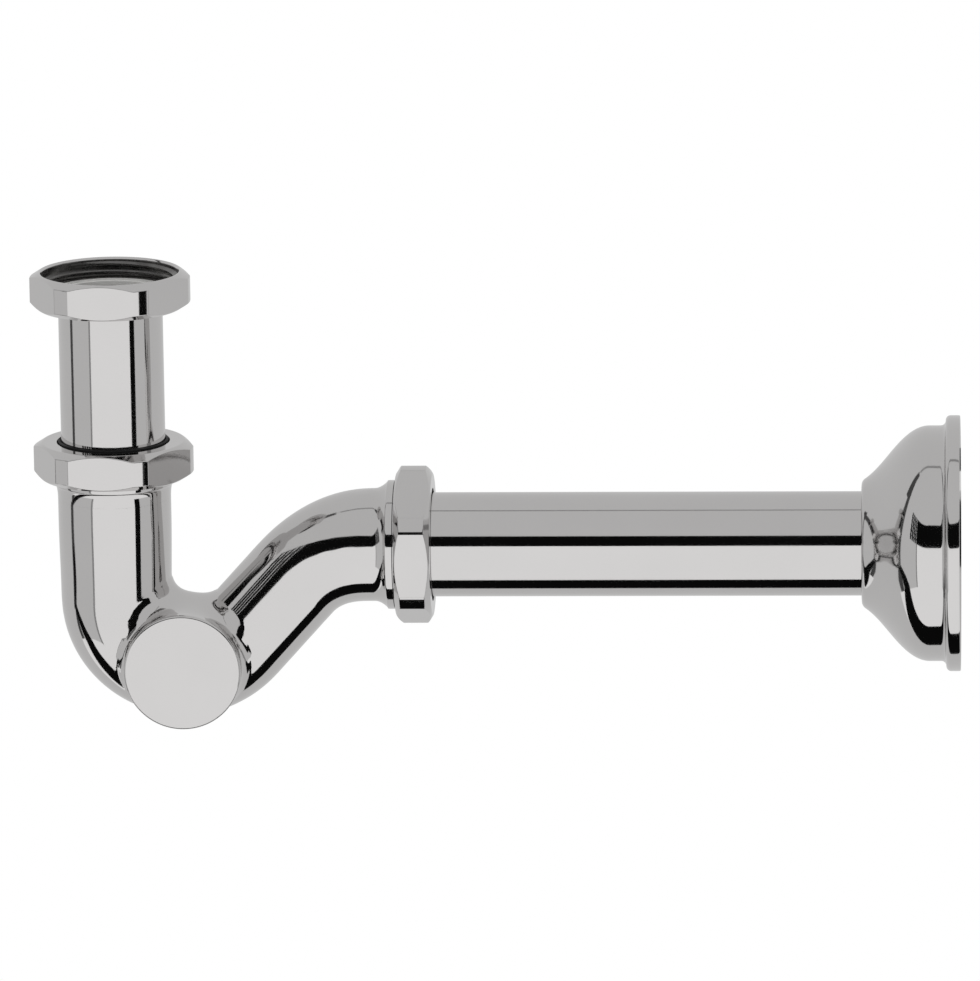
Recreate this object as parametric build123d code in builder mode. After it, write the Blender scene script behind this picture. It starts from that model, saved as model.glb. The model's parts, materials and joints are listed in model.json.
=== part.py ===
"""Chrome plated bidet trap with an adjusting inlet tube, a cast S body and a wall tube.

Millimetres. The origin is the sealing plane in the union nut, on the inlet axis.
Z is up along the inlet, X runs along the outlet to the wall, -Y is the cleanout side.
"""

import os
from math import cos, radians, sin, tan

from build123d import *

os.makedirs("parts", exist_ok=True)

# Tubes
tube_od = 32.0
tube_wall = 1.0
tube_insert = 19.0
outlet_tube_insert = 14.8
outlet_tube_inset = 1.5
flange_width = 3.2
flange_thickness = 1.4

# Hexagonal nuts, one turned blank for all three
nut_height = 11.2
nut_shoulder = 2.0
nut_wall = 1.55
nut_hole_gap = 1.3
nut_mouth_chamfer = 0.8
hex_corner_stand = 2.1
hex_face_inset = 0.7
hex_chamfer_angle = 32.0
thread_depth = 1.45
thread_relief = 0.25

# Inlet union
gasket_thickness = 1.7
gasket_inset = 0.3
union_hole_clearance = 0.4
union_turn = -2.7

# Slip joints
slip_nut_top = 47.0
slip_nut_turn = -5.8
outlet_nut_turn = 4.0
friction_ring_thickness = 1.5
friction_lip_clearance = 0.3
friction_lip_height = 0.9
washer_width = 1.95
washer_length = 5.0
washer_nose_angle = 45.0
washer_grip = 0.08
seal_clearance = 0.3

# Cast body
socket_clearance = 0.3
socket_wall = 1.05
cup_wall = 1.25
ring_gap = 0.1
collar_gap = 0.3
collar_stand = 0.3
collar_width = 2.2
thread_tuck = 1.0
bead_stand = 0.95
bead_width = 1.8
neck_length = 4.0
bend_draw = 1.75
bend_wall = 2.2
bend_throat = 5.9
outlet_throat = 16.4
outlet_run = 1.1
body_drop = 33.0
water_rise = 37.4
rise_angle = 48.0
leg_taper_share = 0.8
leg_draw = 0.35
bend_steps = 8
bore_taper_share = 0.45

# Saddle and cleanout
saddle_swell = 2.7
saddle_inset = 1.6
boss_height = 2.5
boss_draw = 0.6
boss_wall = 2.5
boss_stand = 3.0
boss_bore_stop = 1.6
boss_blend = 6.0
cap_overhang = 0.5
cap_thickness = 4.2
cap_edge = 1.0
spigot_gap = 0.9
spigot_length = 7.0
spigot_wall = 2.4
seal_section_d = 1.8
seal_groove_clearance = 0.15

# Wall flange
wall_face = 259.6
wall_flange_length = 30.2
wall_neck_stand = 4.3
wall_bell_stand = 20.1
wall_rim_stand = 3.1
wall_rim_width = 4.4
wall_sheet = 1.2
wall_bell_band = 5.0
wall_cove_length = 10.4
wall_cove_drop = 6.4
wall_lip_round = 2.4
wall_bend_r = 1.5
wall_hole_clearance = 0.3

# Round sizes, each built out from the tube
tube_r = tube_od / 2
flange_r = tube_r + flange_width
gasket_r = flange_r
gasket_bore_r = tube_r - tube_wall + gasket_inset
washer_r = tube_r + washer_width
cup_r = washer_r + seal_clearance
thread_core_r = cup_r + cup_wall
collar_r = thread_core_r + collar_stand
thread_bore_r = thread_core_r + thread_depth
thread_relief_r = thread_bore_r + thread_relief
hex_flat_r = thread_bore_r + nut_wall
hex_corner_r = hex_flat_r + hex_corner_stand
hex_face_r = hex_flat_r - hex_face_inset
nut_hole_r = tube_r + nut_hole_gap
friction_lip_r = nut_hole_r - friction_lip_clearance
socket_r = tube_r + socket_clearance
socket_outer_r = socket_r + socket_wall
bead_r = socket_outer_r + bead_stand
bend_r = socket_outer_r - bend_draw
u_bend_radius = bend_r + bend_throat
outlet_bend_radius = bend_r + outlet_throat
boss_bore_r = bend_r - boss_draw
boss_r = boss_bore_r + boss_wall
saddle_r = boss_r + saddle_swell
cap_r = boss_r + cap_overhang
spigot_r = boss_bore_r - spigot_gap
wall_neck_r = tube_r + wall_neck_stand
wall_bell_r = tube_r + wall_bell_stand
wall_rim_r = wall_bell_r + wall_rim_stand
wall_cove_r = wall_bell_r - wall_cove_drop

# Levels and depths
inlet_tube_end = slip_nut_top + tube_insert
outlet_z = -slip_nut_top - body_drop
bottom_z = outlet_z - water_rise
union_bottom = -(gasket_thickness + flange_thickness + nut_shoulder)
union_top = union_bottom + nut_height
ring_face = nut_shoulder + friction_ring_thickness
cup_rim = ring_face + ring_gap
washer_end = ring_face + washer_length
cup_floor = washer_end + seal_clearance
neck_depth = nut_height + collar_gap + collar_width + neck_length
boss_face = bend_r + boss_stand
saddle_back = bend_r - saddle_inset
boss_bore_depth = boss_face - boss_bore_stop

# The course of the casting: down the leg, round the U bend, up the riser and out
bend_top = bottom_z + u_bend_radius
leg_top = -slip_nut_top - neck_depth
bend_bore_r = bend_r - bend_wall
leg_taper = (leg_top - bend_top) * leg_taper_share
bore_taper = (leg_top - bend_top) * bore_taper_share
bend_rise = (u_bend_radius + outlet_bend_radius) * (1 - cos(radians(rise_angle)))
rise_length = (water_rise - bend_rise) / sin(radians(rise_angle))
bend_reach = (u_bend_radius + outlet_bend_radius) * sin(radians(rise_angle))
run_start = u_bend_radius + bend_reach + rise_length * cos(radians(rise_angle))
outlet_nut_face = run_start + outlet_run + neck_depth
outlet_tube_start = outlet_nut_face - outlet_tube_insert

# The two slip joints, each with its own Z pointing out of the body along its tube
inlet_joint = Location((0, 0, -slip_nut_top))
outlet_joint = Location((outlet_nut_face, 0, outlet_z), (0, 90, 0))


def hex_blank(turn: float) -> Part:
    """A hexagonal bar end, turned at the corners and chamfered, with its top face on Z = 0."""
    slope = tan(radians(hex_chamfer_angle))
    corner_drop = (hex_corner_r - hex_face_r) * slope
    with BuildPart() as blank:
        with BuildSketch(Plane.XY.offset(-nut_height)):
            RegularPolygon(hex_flat_r, 6, major_radius=False, rotation=turn)
        extrude(amount=nut_height)
        with BuildSketch(Plane.XZ):
            with BuildLine():
                Polyline(
                    (0, 0),
                    (hex_face_r, 0),
                    (hex_corner_r, -corner_drop),
                    (hex_corner_r, -nut_height + corner_drop),
                    (hex_face_r, -nut_height),
                    (0, -nut_height),
                    close=True,
                )
            make_face()
        revolve(axis=Axis.Z, mode=Mode.INTERSECT)
    return blank.part


def slip_nut(turn: float) -> Part:
    """A slip nut with its shoulder at the top, open below to the thread."""
    with BuildPart() as nut:
        add(hex_blank(turn))
        with BuildSketch(Plane.XZ):
            with BuildLine():
                Polyline(
                    (0, 0),
                    (nut_hole_r, 0),
                    (nut_hole_r, -nut_shoulder),
                    (thread_bore_r, -nut_shoulder),
                    (thread_bore_r, -nut_height + nut_mouth_chamfer),
                    (thread_bore_r + nut_mouth_chamfer / 2, -nut_height),
                    (0, -nut_height),
                    close=True,
                )
            make_face()
        revolve(axis=Axis.Z, mode=Mode.SUBTRACT)
    return nut.part


def slip_washer() -> Part:
    """A rubber washer with a tapered nose, at its place below the nut's top face."""
    inner = tube_r + washer_grip
    nose = (washer_r - inner - 0.4) / tan(radians(washer_nose_angle))
    with BuildPart() as washer:
        with BuildSketch(Plane.XZ):
            with BuildLine():
                Polyline(
                    (inner, -ring_face),
                    (washer_r, -ring_face),
                    (washer_r, -washer_end + nose),
                    (inner + 0.4, -washer_end),
                    (inner, -washer_end),
                    close=True,
                )
            make_face()
        revolve(axis=Axis.Z)
    return washer.part


def friction_ring(lip: float) -> Part:
    """A ring under the nut's shoulder, with a lip that stands up through the nut's hole."""
    inner = tube_r + seal_clearance / 2
    with BuildPart() as ring:
        with BuildSketch(Plane.XZ):
            with BuildLine():
                Polyline(
                    (inner, -ring_face),
                    (washer_r, -ring_face),
                    (washer_r, -nut_shoulder),
                    (friction_lip_r, -nut_shoulder),
                    (friction_lip_r, lip),
                    (inner, lip),
                    close=True,
                )
            make_face()
        revolve(axis=Axis.Z)
    return ring.part


def socket_end(thread_end: float, ring_r: float, ring_end: float) -> Part:
    """The outside of a body end: thread core, the ring past the thread and the neck to the socket."""
    with BuildPart() as end:
        with BuildSketch(Plane.XZ):
            with BuildLine():
                Polyline(
                    (0, -neck_depth),
                    (0, -cup_rim),
                    (thread_core_r, -cup_rim),
                    (thread_core_r, -thread_end),
                    (ring_r, -thread_end),
                    (ring_r, -ring_end),
                )
                Spline(
                    (ring_r, -ring_end),
                    (socket_outer_r, -neck_depth),
                    tangents=[(-1, -0.3), (0, -1)],
                )
                Line((socket_outer_r, -neck_depth), (0, -neck_depth))
            make_face()
        revolve(axis=Axis.Z)
    return end.part


def socket_bore(length: float) -> Part:
    """The inside of a body end: the cup for the washer, its bevel and the socket for the tube."""
    bevel = (cup_r - socket_r) / tan(radians(washer_nose_angle))
    with BuildPart() as bore:
        with BuildSketch(Plane.XZ):
            with BuildLine():
                Polyline(
                    (0, 0),
                    (cup_r, 0),
                    (cup_r, -cup_floor + bevel),
                    (socket_r, -cup_floor),
                    (socket_r, -length),
                    (0, -length),
                    close=True,
                )
            make_face()
        revolve(axis=Axis.Z)
    return bore.part


# Centre line of the casting, from the inlet neck to the outlet neck
with BuildLine(Plane.XZ) as centre_line:
    leg = Line((0, leg_top), (0, bend_top))
    u_bend = JernArc(leg @ 1, leg % 1, u_bend_radius, 90 + rise_angle)
    riser = PolarLine(u_bend @ 1, rise_length, direction=u_bend % 1)
    s_bend = JernArc(riser @ 1, riser % 1, outlet_bend_radius, -rise_angle)
    run = Line(s_bend @ 1, (outlet_nut_face - neck_depth, outlet_z))


def across(line: Edge, at: float) -> Plane:
    """The plane square to a line of the course, with X along the width of the trap."""
    return Plane(line @ at, x_dir=(0, 1, 0), z_dir=line % at)


bend_shares = [step / bend_steps for step in range(bend_steps + 1)]
bend_growth = [(share, share**2 * (3 - 2 * share)) for share in bend_shares]


def casting(wide: float, entry: float, narrow: float, taper: float) -> Part:
    """The round course of the casting, wide at both sockets and drawn in round the first bend."""
    with BuildPart() as passage:
        with BuildSketch(Plane.XZ):
            with BuildLine():
                side = Polyline((0, leg_top), (wide, leg_top), (wide, bend_top + taper))
                draw_in = Spline(side @ 1, (entry, bend_top), tangents=[(0, -1), (0, -1)])
                Polyline(draw_in @ 1, (0, bend_top), side @ 0)
            make_face()
        revolve(axis=Axis.Z)
        for share, growth in bend_growth:
            with BuildSketch(across(u_bend, share)):
                Circle(entry + (narrow - entry) * growth)
        sweep(path=u_bend, multisection=True)
        with BuildSketch(across(riser, 0)):
            Circle(narrow)
        extrude(amount=riser.length)
        for share, growth in bend_growth:
            with BuildSketch(across(s_bend, share)):
                Circle(narrow + (wide - narrow) * growth)
        sweep(path=s_bend, multisection=True)
        with BuildSketch(across(run, 0)):
            Circle(wide)
        extrude(amount=run.length)
    return passage.part


with BuildPart() as union_nut:
    with Locations((0, 0, union_top)):
        add(hex_blank(union_turn))
    with BuildSketch(Plane.XZ):
        with BuildLine():
            Polyline(
                (0, union_bottom),
                (tube_r + union_hole_clearance, union_bottom),
                (tube_r + union_hole_clearance, union_bottom + nut_shoulder),
                (thread_relief_r, union_bottom + nut_shoulder),
                (thread_relief_r, 0),
                (thread_bore_r, 0),
                (thread_bore_r, union_top - nut_mouth_chamfer),
                (thread_bore_r + nut_mouth_chamfer / 2, union_top),
                (0, union_top),
                close=True,
            )
        make_face()
    revolve(axis=Axis.Z, mode=Mode.SUBTRACT)

with BuildPart() as inlet_gasket:
    with BuildSketch(Plane.XY.offset(-gasket_thickness)):
        Circle(gasket_r)
        Circle(gasket_bore_r, mode=Mode.SUBTRACT)
    extrude(amount=gasket_thickness)

with BuildPart() as inlet_tube:
    with BuildSketch(Plane.XZ):
        with BuildLine():
            Polyline(
                (tube_r - tube_wall, -gasket_thickness),
                (flange_r, -gasket_thickness),
                (flange_r, -gasket_thickness - flange_thickness),
                (tube_r, -gasket_thickness - flange_thickness),
                (tube_r, -inlet_tube_end),
                (tube_r - tube_wall, -inlet_tube_end),
                close=True,
            )
        make_face()
    revolve(axis=Axis.Z)

with BuildPart() as inlet_slip_nut:
    with Locations(inlet_joint):
        add(slip_nut(slip_nut_turn))

with BuildPart() as inlet_friction_ring:
    with Locations(inlet_joint):
        add(friction_ring(friction_lip_height))

with BuildPart() as inlet_slip_washer:
    with Locations(inlet_joint):
        add(slip_washer())

boss_plane = Plane((u_bend_radius, 0, bottom_z + boss_height), x_dir=(1, 0, 0), z_dir=(0, -1, 0))
boss_axis = Axis(boss_plane.origin, boss_plane.z_dir)
seal_centre_r = spigot_r + seal_groove_clearance + seal_section_d / 2
seal_groove_r = seal_centre_r + seal_section_d / 2 + seal_groove_clearance
boss_section = Plane(boss_plane.origin, x_dir=(1, 0, 0), z_dir=(0, 0, 1))

with BuildPart() as trap_body:
    add(casting(socket_outer_r, socket_outer_r - leg_draw, bend_r, leg_taper))
    with BuildSketch(boss_section):
        with BuildLine():
            Line((0, saddle_back), (0, -boss_face))
            Line((0, -boss_face), (boss_r, -boss_face))
            Spline(
                (boss_r, -boss_face),
                (saddle_r, 0),
                (0, saddle_back),
                tangents=[(0, 1), (-1, 0)],
            )
        make_face()
    revolve(axis=boss_axis)
    fillet(edges(Select.NEW), boss_blend)
    with Locations(inlet_joint):
        add(socket_end(nut_height - thread_tuck, bead_r, nut_height + bead_width))
    with Locations(outlet_joint):
        add(socket_end(nut_height + collar_gap, collar_r, nut_height + collar_gap + collar_width))
    add(casting(socket_r, bend_bore_r + leg_draw, bend_bore_r, bore_taper), mode=Mode.SUBTRACT)
    with Locations(inlet_joint, outlet_joint):
        add(socket_bore(neck_depth), mode=Mode.SUBTRACT)
    with BuildSketch(boss_plane.offset(boss_face - boss_bore_depth)):
        Circle(boss_bore_r)
    extrude(amount=boss_bore_depth, mode=Mode.SUBTRACT)
    with BuildSketch(boss_plane.offset(boss_face - seal_section_d - seal_groove_clearance)):
        Circle(seal_groove_r)
    extrude(amount=seal_section_d + seal_groove_clearance, mode=Mode.SUBTRACT)

with BuildPart() as cleanout_cap:
    with BuildSketch(boss_plane.offset(boss_face)):
        Circle(cap_r)
    extrude(amount=cap_thickness)
    fillet(edges().sort_by(boss_axis)[-1], cap_edge)
    with BuildSketch(boss_plane.offset(boss_face - spigot_length)):
        Circle(spigot_r)
        Circle(spigot_r - spigot_wall, mode=Mode.SUBTRACT)
    extrude(amount=spigot_length)

with BuildPart() as cleanout_seal:
    with BuildSketch(boss_section):
        with Locations((seal_centre_r, -boss_face + seal_section_d / 2)):
            Circle(seal_section_d / 2)
    revolve(axis=boss_axis)

with BuildPart() as outlet_slip_nut:
    with Locations(outlet_joint):
        add(slip_nut(outlet_nut_turn))

with BuildPart() as outlet_friction_ring:
    with Locations(outlet_joint):
        add(friction_ring(-nut_shoulder / 2))

with BuildPart() as outlet_slip_washer:
    with Locations(outlet_joint):
        add(slip_washer())

with BuildPart() as outlet_tube:
    with BuildSketch(Plane.YZ.offset(outlet_tube_start)):
        with Locations((0, outlet_z)):
            Circle(tube_r)
            Circle(tube_r - tube_wall, mode=Mode.SUBTRACT)
    extrude(amount=wall_face - outlet_tube_inset - outlet_tube_start)

wall_section = Plane((0, 0, outlet_z), x_dir=(1, 0, 0), z_dir=(0, -1, 0))
outlet_axis = Axis(wall_section.origin, wall_section.x_dir)
wall_neck = wall_face - wall_flange_length
wall_step = wall_face - wall_rim_width
with BuildPart() as wall_flange:
    with BuildSketch(wall_section):
        with BuildLine():
            lip = Line(
                (wall_neck, tube_r + wall_hole_clearance),
                (wall_neck, wall_neck_r - wall_lip_round),
            )
            lip_turn = JernArc(lip @ 1, lip % 1, wall_lip_round, -55)
            ogee = Spline(
                lip_turn @ 1,
                (wall_neck + wall_cove_length, wall_cove_r),
                (wall_step - wall_bell_band, wall_bell_r),
                tangents=[lip_turn % 1, (1, 0)],
            )
            shoulder = Line(ogee @ 1, (wall_step - wall_bend_r, wall_bell_r))
            bend_out = JernArc(shoulder @ 1, shoulder % 1, wall_bend_r, 90)
            step = Line(bend_out @ 1, (wall_step, wall_rim_r - wall_bend_r))
            bend_back = JernArc(step @ 1, step % 1, wall_bend_r, -90)
            rim = Line(bend_back @ 1, (wall_face, wall_rim_r))
            Polyline(rim @ 1, (wall_face, 0), (wall_neck, 0), lip @ 0)
        make_face()
    revolve(axis=outlet_axis)
    offset(amount=-wall_sheet, openings=faces().sort_by(Axis.X)[-1])
    with BuildSketch(Plane(wall_section.origin, z_dir=outlet_axis.direction)):
        Circle(tube_r + wall_hole_clearance)
    extrude(amount=wall_face, mode=Mode.SUBTRACT)

export_step(union_nut.part, "parts/union_nut.step")
export_step(inlet_gasket.part, "parts/inlet_gasket.step")
export_step(inlet_tube.part, "parts/inlet_tube.step")
export_step(inlet_slip_nut.part, "parts/inlet_slip_nut.step")
export_step(inlet_friction_ring.part, "parts/inlet_friction_ring.step")
export_step(inlet_slip_washer.part, "parts/inlet_slip_washer.step")
export_step(trap_body.part, "parts/trap_body.step")
export_step(cleanout_cap.part, "parts/cleanout_cap.step")
export_step(cleanout_seal.part, "parts/cleanout_seal.step")
export_step(outlet_slip_nut.part, "parts/outlet_slip_nut.step")
export_step(outlet_friction_ring.part, "parts/outlet_friction_ring.step")
export_step(outlet_slip_washer.part, "parts/outlet_slip_washer.step")
export_step(outlet_tube.part, "parts/outlet_tube.step")
export_step(wall_flange.part, "parts/wall_flange.step")
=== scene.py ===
"""Looks of a chrome plated bidet trap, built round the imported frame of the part.

Metres, in the frame of the solids: the origin is the sealing plane in the union nut, Z is up
along the inlet, X runs along the outlet to the wall and -Y is the cleanout side.
"""

import json
import logging
import math
from dataclasses import dataclass
from enum import Enum
from typing import Callable, Sequence

import bpy
from bpy.types import Material, Node, NodeSocket, NodeTree, Object
from mathutils import Matrix, Vector

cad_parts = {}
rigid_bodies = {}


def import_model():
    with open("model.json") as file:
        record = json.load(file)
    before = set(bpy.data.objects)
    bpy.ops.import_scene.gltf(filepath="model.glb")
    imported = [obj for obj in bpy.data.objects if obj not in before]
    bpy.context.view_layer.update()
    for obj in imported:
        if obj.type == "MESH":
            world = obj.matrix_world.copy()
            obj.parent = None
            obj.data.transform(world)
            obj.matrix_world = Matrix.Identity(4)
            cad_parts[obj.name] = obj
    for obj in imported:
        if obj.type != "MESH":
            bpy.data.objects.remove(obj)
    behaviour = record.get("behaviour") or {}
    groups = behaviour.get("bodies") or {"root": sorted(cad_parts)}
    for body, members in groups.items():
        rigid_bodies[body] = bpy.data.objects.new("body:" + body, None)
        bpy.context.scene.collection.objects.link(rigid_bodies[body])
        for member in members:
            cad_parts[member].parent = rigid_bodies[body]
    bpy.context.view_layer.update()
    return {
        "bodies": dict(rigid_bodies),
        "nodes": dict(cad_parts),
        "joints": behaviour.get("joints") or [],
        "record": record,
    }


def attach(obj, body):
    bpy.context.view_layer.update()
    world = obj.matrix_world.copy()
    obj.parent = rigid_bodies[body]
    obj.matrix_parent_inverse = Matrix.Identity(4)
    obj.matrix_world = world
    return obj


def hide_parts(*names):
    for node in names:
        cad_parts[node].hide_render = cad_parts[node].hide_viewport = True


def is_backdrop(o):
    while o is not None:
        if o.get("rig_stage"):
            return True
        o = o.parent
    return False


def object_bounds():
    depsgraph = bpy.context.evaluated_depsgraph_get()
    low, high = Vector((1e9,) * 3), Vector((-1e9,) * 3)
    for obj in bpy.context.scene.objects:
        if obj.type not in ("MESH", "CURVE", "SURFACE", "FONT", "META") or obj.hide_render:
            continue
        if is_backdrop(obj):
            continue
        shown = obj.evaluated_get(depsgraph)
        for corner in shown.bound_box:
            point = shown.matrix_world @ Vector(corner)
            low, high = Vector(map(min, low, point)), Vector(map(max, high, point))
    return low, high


LOG = logging.getLogger("bidet_trap")
MM = 0.001
QUARTER = math.pi / 2
SAME_SPOT = 1e-7
SAME_PLANE = 1e-6
SEAM_GAP = 1e-6
SOLID_GAP = 2e-6
TURNED_EDGE = 28.0
CUT_EDGE = 40.0
SHEET_EDGE = 50.0
Span = tuple[float, float]
Span3 = tuple[float, float, float]
Colour = tuple[float, float, float, float]


class Tone(Enum):
    """How bright a studio surface looks in the plating, 1 being paper white."""

    WHITE = 1.0
    GREY = 0.64
    SHADE = 0.3
    DEEP = 0.07
    BLACK = 0.004


class Slot(Enum):
    """Material slots of the record."""

    CHROME = "chrome"
    BLACK_RUBBER = "black_rubber"
    BLACK_PLASTIC = "black_plastic"
    GREY_RUBBER = "grey_rubber"


def grey(value: float) -> Colour:
    """A neutral colour of one value."""
    return (value, value, value, 1.0)


def between(span: Span, share: float) -> float:
    """The value at a share of a span."""
    return span[0] + (span[1] - span[0]) * share


def heading(azimuth: float, elevation: float) -> Vector:
    """The way out from the trap.

    Args:
        azimuth: Degrees from the front, right being positive.
        elevation: Degrees above the horizon.

    Returns:
        The way, of length 1.
    """
    across = math.radians(azimuth)
    up = math.radians(elevation)
    level = math.cos(up)
    return Vector((math.sin(across) * level, -math.cos(across) * level, math.sin(up)))


def link(tree: NodeTree, source: NodeSocket, target: NodeSocket) -> None:
    """Join two sockets."""
    tree.links.new(source, target)


def deselect_all() -> None:
    """Leave edit mode and clear the selection."""
    if bpy.context.object is not None and bpy.context.object.mode != "OBJECT":
        bpy.ops.object.mode_set(mode="OBJECT")
    bpy.ops.object.select_all(action="DESELECT")


class SurfaceGroup:
    """A shader node group that reads a place on a piece and gives values that change over it."""

    def __init__(self, name: str, inputs: dict[str, float]) -> None:
        """Make the group and its inputs.

        Args:
            name: The group's name.
            inputs: Its inputs besides the place, each with its usual value.
        """
        self.tree = bpy.data.node_groups.new(name, "ShaderNodeTree")
        self.entry = self.tree.nodes.new("NodeGroupInput")
        self.exit = self.tree.nodes.new("NodeGroupOutput")
        sockets = self.tree.interface
        sockets.new_socket(name="Place", in_out="INPUT", socket_type="NodeSocketVector")
        for label, value in inputs.items():
            socket = sockets.new_socket(name=label, in_out="INPUT", socket_type="NodeSocketFloat")
            socket.default_value = value

    def give(self, name: str, source: NodeSocket) -> None:
        """Add an output socket fed by a node's socket."""
        self.tree.interface.new_socket(name=name, in_out="OUTPUT", socket_type="NodeSocketFloat")
        link(self.tree, source, self.exit.inputs[name])

    def noise(self, scale: str, detail: float) -> Node:
        """A noise over the place, whose scale comes from one of the group's inputs.

        Args:
            scale: The input that sets the scale.
            detail: Octaves of the noise.

        Returns:
            The noise node.
        """
        node = self.tree.nodes.new("ShaderNodeTexNoise")
        node.inputs["Detail"].default_value = detail
        link(self.tree, self.entry.outputs["Place"], node.inputs["Vector"])
        link(self.tree, self.entry.outputs[scale], node.inputs["Scale"])
        return node

    def ramp(self, source: NodeSocket, part: Span, ends: tuple[str, str]) -> Node:
        """A map from part of a value's range to the range between two inputs.

        Args:
            source: The value.
            part: The part of its range that is used.
            ends: The inputs that give the lowest and highest result.

        Returns:
            The map node.
        """
        node = self.tree.nodes.new("ShaderNodeMapRange")
        node.inputs["From Min"].default_value, node.inputs["From Max"].default_value = part
        link(self.tree, source, node.inputs["Value"])
        for end, target in zip(ends, ("To Min", "To Max")):
            link(self.tree, self.entry.outputs[end], node.inputs[target])
        return node


class PolishGroup(SurfaceGroup):
    """Polished plating: a faint haze in the gloss, and a low waviness left by the buffing."""

    INPUTS = {
        "Haze scale": 45.0,
        "Wave scale": 70.0,
        "Grain scale": 2200.0,
        "Gloss": 0.045,
        "Haze": 0.085,
    }
    HAZE_PART = (0.35, 0.72)
    GRAIN_SHARE = 0.002

    def __init__(self) -> None:
        """Build the group's nodes."""
        super().__init__("polished_plating", self.INPUTS)
        haze = self.noise("Haze scale", 4.0)
        gloss = self.ramp(haze.outputs["Fac"], self.HAZE_PART, ("Gloss", "Haze"))
        wave = self.noise("Wave scale", 1.0)
        grain = self.noise("Grain scale", 2.0)
        height = self.tree.nodes.new("ShaderNodeMath")
        height.operation = "MULTIPLY_ADD"
        height.inputs[1].default_value = self.GRAIN_SHARE
        link(self.tree, grain.outputs["Fac"], height.inputs[0])
        link(self.tree, wave.outputs["Fac"], height.inputs[2])
        self.give("Roughness", gloss.outputs["Result"])
        self.give("Mask", haze.outputs["Fac"])
        self.give("Height", height.outputs["Value"])


class MouldGroup(SurfaceGroup):
    """Moulded rubber or plastic: a fine skin, with paler dusty patches."""

    INPUTS = {"Skin scale": 2600.0, "Dust scale": 220.0, "Gloss": 0.4, "Dull": 0.7}
    DUST_PART = (0.35, 0.7)

    def __init__(self) -> None:
        """Build the group's nodes."""
        super().__init__("moulded_skin", self.INPUTS)
        skin = self.noise("Skin scale", 3.0)
        dust = self.noise("Dust scale", 5.0)
        gloss = self.ramp(dust.outputs["Fac"], self.DUST_PART, ("Gloss", "Dull"))
        self.give("Roughness", gloss.outputs["Result"])
        self.give("Mask", dust.outputs["Fac"])
        self.give("Height", skin.outputs["Fac"])


@dataclass(frozen=True)
class Finish:
    """One finish: a Principled shader fed by a surface group.

    Attributes:
        name: The material's name.
        light: Colour where the group's mask is low.
        deep: Colour where the mask is high.
        bump: Height of the group's relief, in metres.
        metallic: 1 for plating, 0 for rubber and plastic.
        settings: The group's inputs that differ from its own values.
        specular: How much rubber or plastic mirrors.
    """

    name: str
    light: Colour
    deep: Colour
    bump: float
    metallic: float = 0.0
    settings: tuple[tuple[str, float], ...] = ()
    specular: float = 0.5

    def material(self, group: SurfaceGroup) -> Material:
        """Build the material.

        Args:
            group: The surface group that feeds the shader.

        Returns:
            The new material.
        """
        made = bpy.data.materials.new(self.name)
        made.use_nodes = True
        tree = made.node_tree
        shader = tree.nodes["Principled BSDF"]
        shader.inputs["Metallic"].default_value = self.metallic
        shader.inputs["Specular IOR Level"].default_value = self.specular
        place = tree.nodes.new("ShaderNodeTexCoord")
        surface = tree.nodes.new("ShaderNodeGroup")
        surface.node_tree = group.tree
        for name, value in self.settings:
            surface.inputs[name].default_value = value
        link(tree, place.outputs["Object"], surface.inputs["Place"])
        blend = tree.nodes.new("ShaderNodeMix")
        blend.data_type = "RGBA"
        blend.inputs["A"].default_value = self.light
        blend.inputs["B"].default_value = self.deep
        link(tree, surface.outputs["Mask"], blend.inputs["Factor"])
        link(tree, blend.outputs["Result"], shader.inputs["Base Color"])
        link(tree, surface.outputs["Roughness"], shader.inputs["Roughness"])
        relief = tree.nodes.new("ShaderNodeBump")
        relief.inputs["Distance"].default_value = self.bump
        link(tree, surface.outputs["Height"], relief.inputs["Height"])
        link(tree, relief.outputs["Normal"], shader.inputs["Normal"])
        return made


CAST_CHROME = Finish(
    name="cast_chrome",
    light=(0.652, 0.642, 0.638, 1.0),
    deep=(0.618, 0.608, 0.604, 1.0),
    bump=0.00004,
    metallic=1.0,
)
TUBE_CHROME = Finish(
    name="tube_chrome",
    light=(0.652, 0.642, 0.638, 1.0),
    deep=(0.625, 0.615, 0.611, 1.0),
    bump=0.00001,
    metallic=1.0,
)
# Painted shade: a base colour much darker than the outer chrome stands in for the shade inside the
# nuts' bores and threads; the duller gloss is real.
DULL_SHADED_CHROME = Finish(
    name="dull_inner_chrome_painted_shade",
    light=(0.2, 0.196, 0.193, 1.0),
    deep=(0.13, 0.127, 0.124, 1.0),
    bump=0.00002,
    metallic=1.0,
    settings=(("Gloss", 0.2), ("Haze", 0.36), ("Haze scale", 260.0)),
)
BLACK_PLASTIC = Finish(
    name="black_nylon",
    light=(0.004, 0.004, 0.0042, 1.0),
    deep=(0.008, 0.008, 0.0082, 1.0),
    bump=0.00002,
    specular=0.16,
)
BLACK_RUBBER = Finish(
    name="black_seal_rubber",
    light=(0.016, 0.016, 0.016, 1.0),
    deep=(0.034, 0.033, 0.032, 1.0),
    bump=0.00003,
    settings=(("Gloss", 0.55), ("Dull", 0.85)),
)
GREY_RUBBER = Finish(
    name="grey_gasket_rubber",
    light=(0.40, 0.40, 0.39, 1.0),
    deep=(0.46, 0.455, 0.44, 1.0),
    bump=0.00003,
    settings=(("Gloss", 0.5), ("Dull", 0.8)),
)


class Finishes:
    """The part's finishes, each made once."""

    def __init__(self) -> None:
        """Build the groups and the materials."""
        polish = PolishGroup()
        mould = MouldGroup()
        self.cast = CAST_CHROME.material(polish)
        self.tube = TUBE_CHROME.material(polish)
        # Painted shade for the nuts' bores and inner threads, with a duller gloss.
        self.inside = DULL_SHADED_CHROME.material(polish)
        self.plastic = BLACK_PLASTIC.material(mould)
        self.rubber = BLACK_RUBBER.material(mould)
        self.gasket = GREY_RUBBER.material(mould)


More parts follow.
